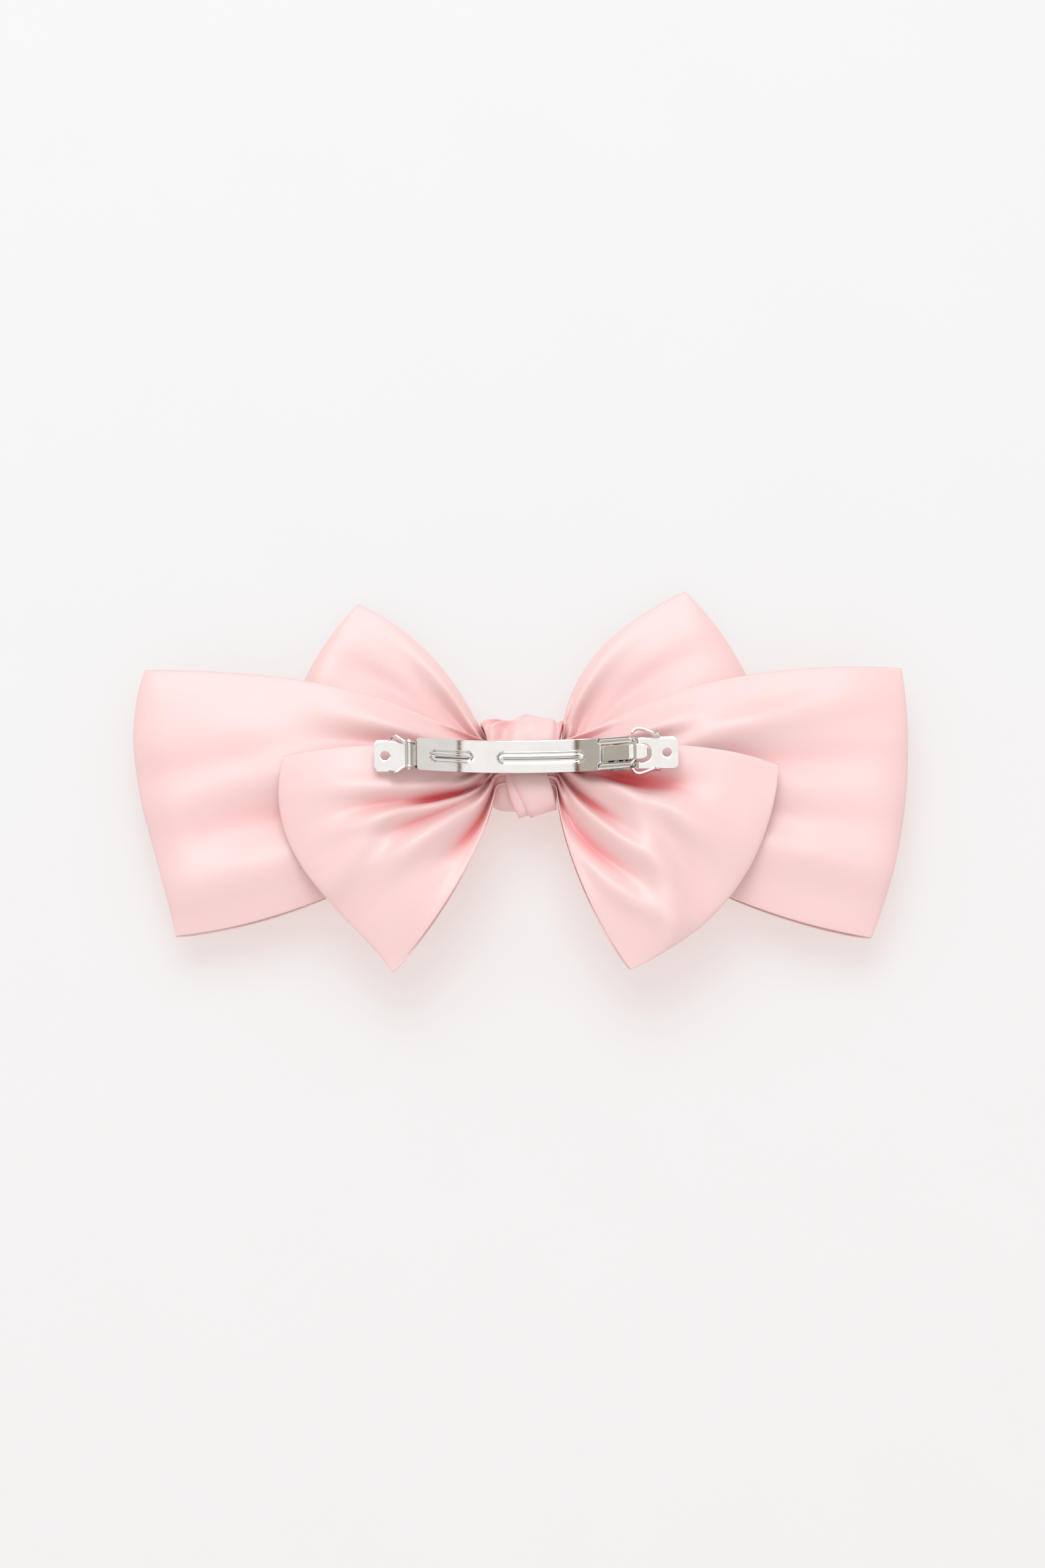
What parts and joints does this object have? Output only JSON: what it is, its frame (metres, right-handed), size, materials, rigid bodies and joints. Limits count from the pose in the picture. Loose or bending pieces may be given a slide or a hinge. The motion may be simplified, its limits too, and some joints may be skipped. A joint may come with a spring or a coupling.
{
  "type": "satin bow barrette",
  "caption": "Large layered satin ribbon bow tied at the waist, on a sprung metal hair clasp with a hinged arm and a snap catch.",
  "frame": {"origin": "middle of the footprint, on the surface that the bow lies face down on", "axes": "+X along the clasp from its hinge to its catch, +Z from the bow's front to the clasp, +Y towards the bow's upper loops"},
  "size_m": [0.206, 0.105, 0.0307],
  "materials": {
    "nickel": "bright nickel-plated spring steel, stamped and tumbled",
    "satin": "pale pink double-face polyester satin ribbon with woven edges",
    "thread": "pink sewing thread",
    "glue": "set hot-melt glue"
  },
  "bodies": {
    "bow_and_base": {"base_plate": "nickel", "hinge_pin": "nickel", "glue_pad": "glue", "back_ribbon": "satin", "wide_ribbon": "satin", "front_ribbon": "satin", "back_gather_thread": "thread", "wide_gather_thread": "thread", "front_gather_thread": "thread", "bundle_thread": "thread", "knot_band": "satin", "knot_tail_left": "satin", "knot_tail_right": "satin"},
    "arm": {"clasp_arm": "nickel"},
    "strip": {"tension_strip": "nickel"},
    "wing_upper": {"catch_wing_upper": "nickel"},
    "wing_lower": {"catch_wing_lower": "nickel"}
  },
  "joints": [
    {"name": "arm_hinge", "type": "hinge", "parent": "bow_and_base", "child": "arm", "pos_m": [-0.0298, 0.00405, 0.0286], "axis": [0, -1, 0], "range_deg": [0, 105]},
    {"name": "strip_flex", "type": "hinge", "parent": "bow_and_base", "child": "strip", "pos_m": [-0.0227, 0.00405, 0.02465], "axis": [0, -1, 0], "range_deg": [0, 8.4]},
    {"name": "catch_flex_upper", "type": "hinge", "parent": "bow_and_base", "child": "wing_upper", "pos_m": [0.0353, 0.0087, 0.0285], "axis": [0, 0, -1], "range_deg": [0, 6], "stiffness_Nm_per_rad": 0.0001},
    {"name": "catch_flex_lower", "type": "hinge", "parent": "bow_and_base", "child": "wing_lower", "pos_m": [0.0353, -0.0006, 0.0285], "axis": [0, 0, 1], "range_deg": [0, 6], "stiffness_Nm_per_rad": 0.0001}
  ],
  "couplings": [
    {"joint": "strip_flex", "follows": "arm_hinge", "ratio": 0.08},
    {"joint": "catch_flex_lower", "follows": "catch_flex_upper", "ratio": 1}
  ]
}
